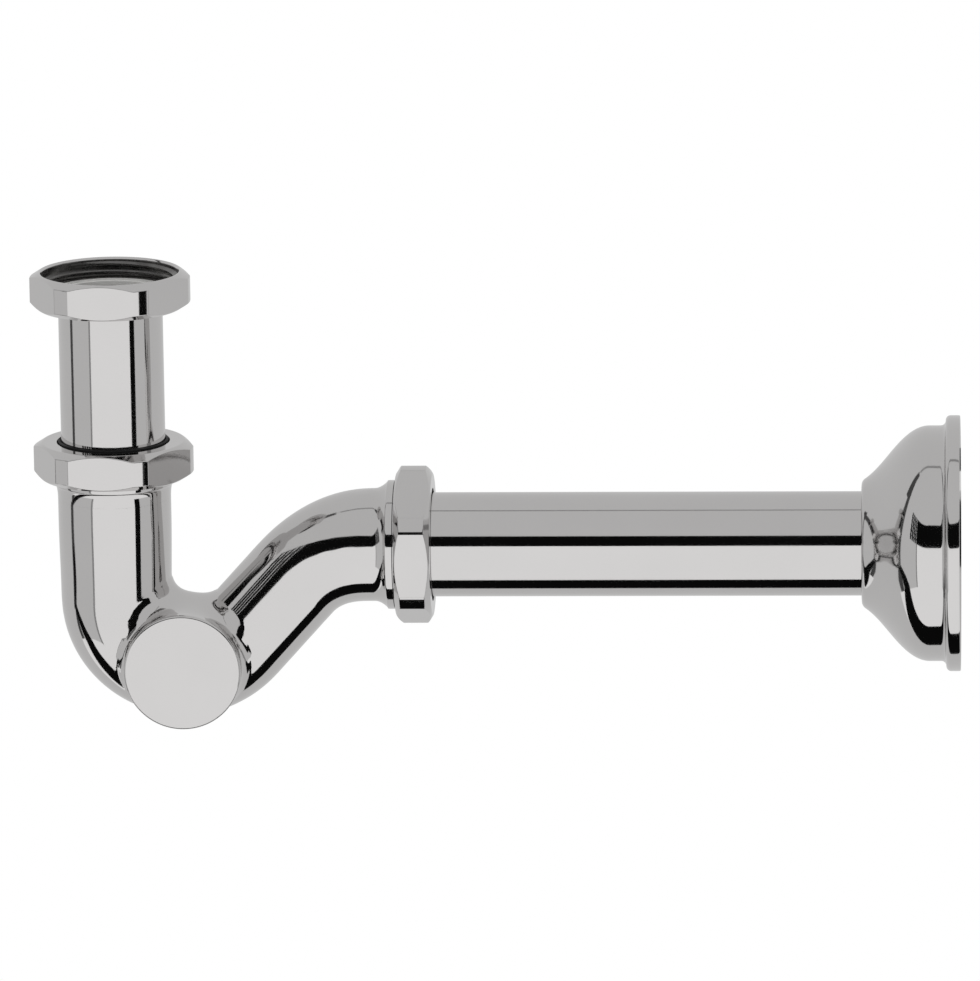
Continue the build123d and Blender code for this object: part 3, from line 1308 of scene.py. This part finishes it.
@dataclass
class CastBody(Section):
    """The cast S body: a smooth skin over the bends and the boss, and turned ends.

    Attributes:
        voxel: Spacing of the skin in millimetres.
        rounds: How often the skin is evened out.
        wall: Its thickness.
        ends: The planes that the skin stops at: the middle of the end, and the way out.
        reach: Distance from that middle within which the skin is cut.
        tuck: How far it goes on under the turned end there.
        stub: How far each end is drawn out while the skin is evened out.
        near: Distances from the drawn course up to which, and past which, the skin follows it.
        rim: The turned ends' rim.
        bead: The ring between the rim and the neck at the inlet.
        collar: The same at the outlet.
        neck_foot: Radius and place of the neck's foot.
        neck_slopes: The neck's slopes at its top and its foot.
        neck_steps: Corners along the neck.
        cup: What follows the foot, inside, back to the rim.
        seat: The rim under the cleanout cap.
        threads: The body's threads, each with its axis.
    """

    voxel: float = 0.66
    rounds: int = 110
    wall: float = 1.05
    ends: tuple[tuple[Vector, Vector], ...] = (
        (Vector((0.0, 0.0, -64.72)), Vector((0.0, 0.0, 1.0))),
        (Vector((80.12, 0.0, -80.0)), Vector((1.0, 0.0, 0.0))),
        (Vector((21.5, -18.55, -114.9)), Vector((0.0, -1.0, 0.0))),
    )
    reach: float = 34.0
    tuck: Span3 = (0.35, 0.35, 0.0)
    stub: float = 6.0
    near: Span = (0.14, 0.34)
    rim: Profile = outline((18.25, -3.6, 0.2), (19.5, -3.6, 0.35))
    bead: Profile = outline((19.5, -10.2, 0.3), (18.3, -10.2), (18.3, -13.0, 0.35))
    collar: Profile = outline((19.5, -11.5), (19.8, -11.5, 0.25), (19.8, -13.7, 0.45))
    neck_foot: Span = (17.353, -17.7)
    neck_slopes: tuple[Span, Span] = ((-0.45, -0.14), (0.0, -1.0))
    neck_steps: int = 14
    cup: Profile = outline(
        (17.33, -18.0), (17.1, -18.6), (16.3, -18.6), (16.3, -8.8), (18.25, -6.85)
    )
    seat: Profile = outline(
        (15.0, 11.2), (15.0, 16.65, 0.2), (16.2, 16.65), (16.2, 18.61, 0.15),
        (17.3, 18.61, 0.1), (17.3, 17.0), (16.6, 11.2),
    )
    threads: tuple[tuple[Thread, Matrix], ...] = (
        (Thread("inlet_thread", 19.5, 20.35, PIPE_PITCH, -10.1, -3.9), INLET_JOINT),
        (Thread("outlet_thread", 19.5, 20.35, PIPE_PITCH, -11.4, -3.9), OUTLET_JOINT),
        (Thread("cleanout_thread", 15.0, 14.7, CAP_PITCH, 11.3, 16.6), BOSS_AXIS),
    )

    def slice_off(self, skin: Object, place: Vector, outward: Vector) -> None:
        """Cut the skin with a plane and drop what lies past it.

        Args:
            skin: The skin.
            place: The middle of the end, in millimetres.
            outward: The plane's normal, towards what is dropped.
        """
        Bench.edit(skin)
        Bench.pick(skin, lambda co: (co - place * MM).length < self.reach * MM)
        bpy.ops.mesh.bisect(
            plane_co=place * MM,
            plane_no=outward,
            use_fill=False,
            clear_outer=True,
            threshold=SAME_SPOT,
        )
        Bench.close()

    def outer_shell(self) -> Object:
        """Copy the casting's outside from end to end, with its ends drawn out.

        Returns:
            The closed copy.
        """
        deselect_all()
        skin = self.assembly.nodes["trap_body"].copy()
        skin.data = skin.data.copy()
        skin.name = "cast_skin"
        skin.parent = None
        bpy.context.scene.collection.objects.link(skin)
        for key in [key for key in skin.keys() if key.startswith("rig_")]:
            del skin[key]
        Bench.merge(skin, SOLID_GAP)
        for place, outward in self.ends:
            self.slice_off(skin, place, outward)
        Bench.edit(skin)
        low = min(skin.data.vertices, key=lambda vertex: vertex.co.z).co.z
        Bench.pick(skin, lambda co: co.z < low + SAME_PLANE)
        bpy.ops.mesh.select_linked()
        bpy.ops.mesh.select_all(action="INVERT")
        bpy.ops.mesh.delete(type="VERT")
        for place, outward in self.ends:
            Bench.pick(
                skin,
                lambda co: abs((co - place * MM).dot(outward)) < SAME_PLANE
                and (co - place * MM).length < self.reach * MM,
            )
            bpy.ops.mesh.select_mode(type="EDGE")
            step = {"value": outward * self.stub * MM}
            bpy.ops.mesh.extrude_edges_move(TRANSFORM_OT_translate=step)
            bpy.ops.mesh.select_mode(type="VERT")
        bpy.ops.mesh.select_all(action="SELECT")
        Bench.seal()
        return skin

    def follow_course(self, skin: Object) -> None:
        """Lay the skin exactly on the drawn course wherever it is the course's surface.

        Args:
            skin: The skin.
        """
        course = Course()
        for vertex in skin.data.vertices:
            x, y, z = vertex.co / MM
            line_x, line_z, radius = course.nearest(x, z)
            out = Vector((x - line_x, y, z - line_z))
            stray = abs(out.length - radius)
            share = course.ease((self.near[1] - stray) / (self.near[1] - self.near[0]))
            reach = between((out.length, radius), share)
            vertex.co = (Vector((line_x, 0.0, line_z)) + out.normalized() * reach) * MM

    def build_skin(self) -> Object:
        """Even out the casting's outside and give it its wall.

        Returns:
            The finished skin.
        """
        skin = self.outer_shell()
        Bench.apply(skin, "REMESH", mode="VOXEL", voxel_size=self.voxel * MM, adaptivity=0.0)
        Bench.apply(skin, "SMOOTH", factor=0.5, iterations=self.rounds)
        self.follow_course(skin)
        for (place, outward), tuck in zip(self.ends, self.tuck):
            self.slice_off(skin, place + outward * tuck, outward)
        Bench.apply(skin, "SOLIDIFY", thickness=self.wall * MM, offset=-1.0)
        Bench.smooth(skin, SHEET_EDGE)
        return skin

    def turned_end(self, name: str, joint: Matrix, ring: Profile) -> Object:
        """Turn a socket end: thread core, the ring past it, the neck and the cup inside.

        Args:
            name: The piece's name.
            joint: Where its nut's top face is.
            ring: The corners between the thread core's top and the neck.

        Returns:
            The closed end.
        """
        neck_top = (ring[-1].radius, ring[-1].height)
        neck = Flow((neck_top, self.neck_foot), *self.neck_slopes).corners(self.neck_steps)
        return Bench.turned(name, (*self.rim, *ring, *neck[1:], *self.cup), joint)

    def build(self) -> None:
        """Model and dress the whole body."""
        cast = self.finishes.cast
        fit = self.assembly.fit
        fit(self.build_skin(), "trap_body", Slot.CHROME, cast, "trap_body")
        pieces = [
            self.turned_end("inlet_socket", INLET_JOINT, self.bead),
            self.turned_end("outlet_socket", OUTLET_JOINT, self.collar),
            Bench.turned("cleanout_seat", self.seat, BOSS_AXIS),
            *(thread.build(place) for thread, place in self.threads),
        ]
        for piece in pieces:
            fit(piece, "trap_body", Slot.CHROME, cast)


@dataclass
class InletUnion(Section):
    """The union nut with its thread, the gasket in it and the flanged inlet tube.

    Attributes:
        nut: The nut.
        mouth: Largest radius of the nut's inside, duller and darkened by painted shade.
        thread: Its thread.
        gasket: The gasket, with two grooves in its top.
        tube: The tube with its flange.
    """

    nut: HexNut = HexNut(
        "union_nut_polished",
        27.1,
        outline(
            (0.0, 1.0), (22.0, 1.0), (21.35, 0.0), (20.95, -0.8), (20.95, -5.9), (21.2, -6.4),
            (21.2, -9.2), (16.4, -9.2), (16.4, -12.2), (0.0, -12.2),
        ),
    )
    mouth: float = 21.12
    thread: Thread = Thread("union_thread", 20.95, 19.6, PIPE_PITCH, -6.0, -0.8)
    gasket: Profile = outline(
        (15.3, -1.7, 0.3), (19.2, -1.7, 0.3), (19.2, 0.0, 0.35), (18.0, 0.0), (17.9, -0.4),
        (17.5, -0.4), (17.4, 0.0), (16.8, 0.0), (16.7, -0.4), (16.3, -0.4), (16.2, 0.0),
        (15.3, 0.0, 0.35),
    )
    tube: Profile = outline(
        (15.0, -1.7, 0.3), (19.2, -1.7, 0.3), (19.2, -3.1, 0.45), (16.0, -3.1, 0.3),
        (16.0, -66.0, 0.3), (15.0, -66.0, 0.3),
    )

    def build(self) -> None:
        """Model and dress the union."""
        fit = self.assembly.fit
        nut = self.nut.build(UNION_TOP)
        fit(nut, "union_nut", Slot.CHROME, self.finishes.cast, "union_nut")
        # The nut's bore and its thread get painted shade: a darker, duller chrome.
        self.assembly.line(nut, UNION_TOP, self.mouth, self.finishes.inside)
        thread = self.thread.build(UNION_TOP)
        fit(thread, "union_nut", Slot.CHROME, self.finishes.inside)
        ring = Bench.turned("inlet_gasket_ring", self.gasket, Matrix())
        fit(ring, "inlet_tube", Slot.GREY_RUBBER, self.finishes.gasket, "inlet_gasket")
        drawn = Bench.turned("inlet_tube_drawn", self.tube, Matrix(), TUBE_STEPS)
        fit(drawn, "inlet_tube", Slot.CHROME, self.finishes.tube, "inlet_tube")


@dataclass
class SlipJoint(Section):
    """A slip nut with its friction ring, its washer and its thread.

    Attributes:
        side: inlet or outlet.
        place: Where the nut's top face is.
        turn: Degrees that the nut is turned.
        lip: Height of the friction ring's lip over that face.
        washer_body: The body that carries the washer.
        bore: The nut's bore.
        mouth: Largest radius of the nut's inside, duller and darkened by painted shade.
        ridge: Radius of the nut thread's wall and of its crest.
        ridge_run: Where the thread starts and ends.
        flange: The friction ring up to its lip.
        lip_ease: How far the lip's outer and inner edge are rounded.
        washer: The tapered washer.
    """

    side: str
    place: Matrix
    turn: float
    lip: float
    washer_body: str
    bore: Profile = outline(
        (0.0, 1.0), (17.3, 1.0), (17.3, -2.0), (20.95, -2.0), (20.95, -10.4), (21.35, -11.2),
        (22.0, -12.2), (0.0, -12.2),
    )
    mouth: float = 21.3
    ridge: Span = (20.95, 20.5)
    ridge_run: Span = (-10.9, -3.7)
    flange: Profile = outline(
        (16.15, -3.5, 0.15), (17.95, -3.5, 0.2), (17.95, -2.0, 0.2), (17.0, -2.0)
    )
    lip_ease: Span = (0.3, 0.2)
    washer: Profile = outline(
        (16.08, -3.5, 0.2), (17.95, -3.5, 0.25), (17.95, -7.03, 0.3), (16.48, -8.5, 0.15),
        (16.08, -8.5, 0.1),
    )

    def build(self) -> None:
        """Model and dress the joint."""
        fit = self.assembly.fit
        side = self.side
        nut = HexNut(side + "_nut_polished", self.turn, self.bore).build(self.place)
        fit(nut, side + "_slip_nut", Slot.CHROME, self.finishes.cast, side + "_slip_nut")
        # The nut's bore and its thread get painted shade: a darker, duller chrome.
        self.assembly.line(nut, self.place, self.mouth, self.finishes.inside)
        thread = Thread(side + "_nut_thread", *self.ridge, PIPE_PITCH, *self.ridge_run)
        fit(thread.build(self.place), side + "_slip_nut", Slot.CHROME, self.finishes.inside)
        edges = (self.flange[-1].radius, self.flange[0].radius)
        lip = (Corner(edge, self.lip, ease) for edge, ease in zip(edges, self.lip_ease))
        ring = (*self.flange, *lip)
        piece = Bench.turned(side + "_ring_moulded", ring, self.place)
        name = side + "_friction_ring"
        fit(piece, name, Slot.BLACK_PLASTIC, self.finishes.plastic, name)
        piece = Bench.turned(side + "_washer_moulded", self.washer, self.place)
        fit(piece, self.washer_body, Slot.BLACK_RUBBER, self.finishes.rubber, side + "_slip_washer")


@dataclass
class Cleanout(Section):
    """The flat cap with its threaded spigot, and its seal ring.

    Attributes:
        cap: The cap with its spigot.
        thread: The spigot's thread.
    """

    cap: Profile = outline(
        (0.0, 18.6), (11.7, 18.6, 0.4), (11.7, 11.6, 0.4), (14.1, 11.6, 0.5), (14.1, 18.6),
        (18.0, 18.6, 0.4), (18.0, 22.8, 0.9), (0.0, 22.8),
    )
    thread: Thread = Thread("cap_thread", 14.1, 14.55, CAP_PITCH, 11.9, 16.5)

    def build(self) -> None:
        """Model and dress the cleanout."""
        fit = self.assembly.fit
        piece = Bench.turned("cleanout_cap_turned", self.cap, BOSS_AXIS, TUBE_STEPS)
        fit(piece, "cleanout_cap", Slot.CHROME, self.finishes.cast, "cleanout_cap")
        thread = self.thread.build(BOSS_AXIS)
        fit(thread, "cleanout_cap", Slot.CHROME, self.finishes.cast)
        self.assembly.keep("cleanout_seal", self.finishes.rubber)


@dataclass
class WallRun(Section):
    """The wall tube and the bell shaped wall flange.

    Attributes:
        tube: The wall tube.
        sheet: Thickness of the flange's sheet.
        hole: The edge of the flange's hole.
        lip: The bend from there into the bell.
        lip_slope: Degrees that the bell starts at.
        bell: Points of the bell past the lip, by their place and radius.
        bends: The bends out to the rim and back.
        rim: The rim.
        steps: Corners along the lip, each half of the bell and each bend.
        faces: Faces round the flange.
    """

    tube: Profile = outline(
        (15.0, 82.995, 0.3), (16.0, 82.995, 0.3), (16.0, 258.1, 0.3), (15.0, 258.1, 0.3)
    )
    sheet: float = 1.2
    hole: Corner = Corner(16.3, 229.4)
    lip: Arc = Arc((229.4 + 2.4, 17.9), 2.4, 180.0, 125.0)
    lip_slope: float = 55.0
    bell: tuple[Span, Span] = ((239.8, 29.7), (250.2, 36.1))
    bends: tuple[Arc, Arc] = (
        Arc((253.7, 37.6), 1.5, -90.0, 0.0),
        Arc((256.7, 37.7), 1.5, 180.0, 90.0),
    )
    rim: Profile = outline((39.2, 259.2), (39.12, 259.5), (38.9, 259.6))
    steps: tuple[int, int, int] = (9, 40, 7)
    faces: int = 288

    def flange_outline(self) -> Profile:
        """The flange's outer outline, from its hole to its rim.

        Returns:
            Corners close enough to read as one smooth curve.
        """
        lip_steps, bell_steps, bend_steps = self.steps
        lip = self.lip.corners(lip_steps)
        start = (lip[-1].height, lip[-1].radius)
        slope = math.radians(self.lip_slope)
        ogee = Flow((start, *self.bell), (math.sin(slope), math.cos(slope)), (1.0, 0.0))
        bell = ogee.corners(bell_steps, along=True)
        out, back = (bend.corners(bend_steps) for bend in self.bends)
        return (self.hole, *lip, *bell[1:], *out, *back, *self.rim)

    def build_flange(self) -> Object:
        """Turn the flange from sheet.

        Returns:
            The finished flange.
        """
        corners = self.flange_outline()
        flange = Bench.profile("wall_flange_spun", corners)
        Bench.pick_spots(flange, (corners[0], corners[-1]))
        bpy.ops.mesh.select_mode(type="EDGE")
        bpy.ops.mesh.delete(type="EDGE")
        bpy.ops.mesh.select_mode(type="VERT")
        Bench.spin(self.faces)
        thickness = self.sheet * MM
        Bench.apply(flange, "SOLIDIFY", thickness=thickness, offset=-1.0, use_even_offset=True)
        Bench.settle(flange, OUTLET_AXIS)
        Bench.smooth(flange, SHEET_EDGE)
        return flange

    def build(self) -> None:
        """Model and dress the wall run."""
        fit = self.assembly.fit
        drawn = Bench.turned("outlet_tube_drawn", self.tube, OUTLET_AXIS, TUBE_STEPS)
        fit(drawn, "outlet_tube", Slot.CHROME, self.finishes.tube, "outlet_tube")
        fit(self.build_flange(), "wall_flange", Slot.CHROME, self.finishes.cast, "wall_flange")


def corners() -> list[list[float]]:
    """The whole object's lowest and highest corner, as plain numbers."""
    return [list(corner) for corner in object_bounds()]


def main() -> None:
    """Build the looks round the frame."""
    logging.basicConfig(level=logging.INFO, format="%(name)s: %(message)s")
    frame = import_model()
    scene = bpy.context.scene
    scene.view_settings.view_transform = "Standard"
    finishes = Finishes()
    assembly = Assembly(frame)
    sections = (
        InletUnion(assembly, finishes),
        SlipJoint(
            assembly,
            finishes,
            side="inlet",
            place=INLET_JOINT,
            turn=24.2,
            lip=0.5,
            washer_body="inlet_slip_washer",
        ),
        CastBody(assembly, finishes),
        Cleanout(assembly, finishes),
        SlipJoint(
            assembly,
            finishes,
            side="outlet",
            place=OUTLET_JOINT,
            turn=34.0,
            lip=-1.0,
            washer_body="trap_body",
        ),
        WallRun(assembly, finishes),
    )
    for section in sections:
        section.build()
    Studio().build()
    PhotoCamera().build()


if __name__ == "__main__":
    main()
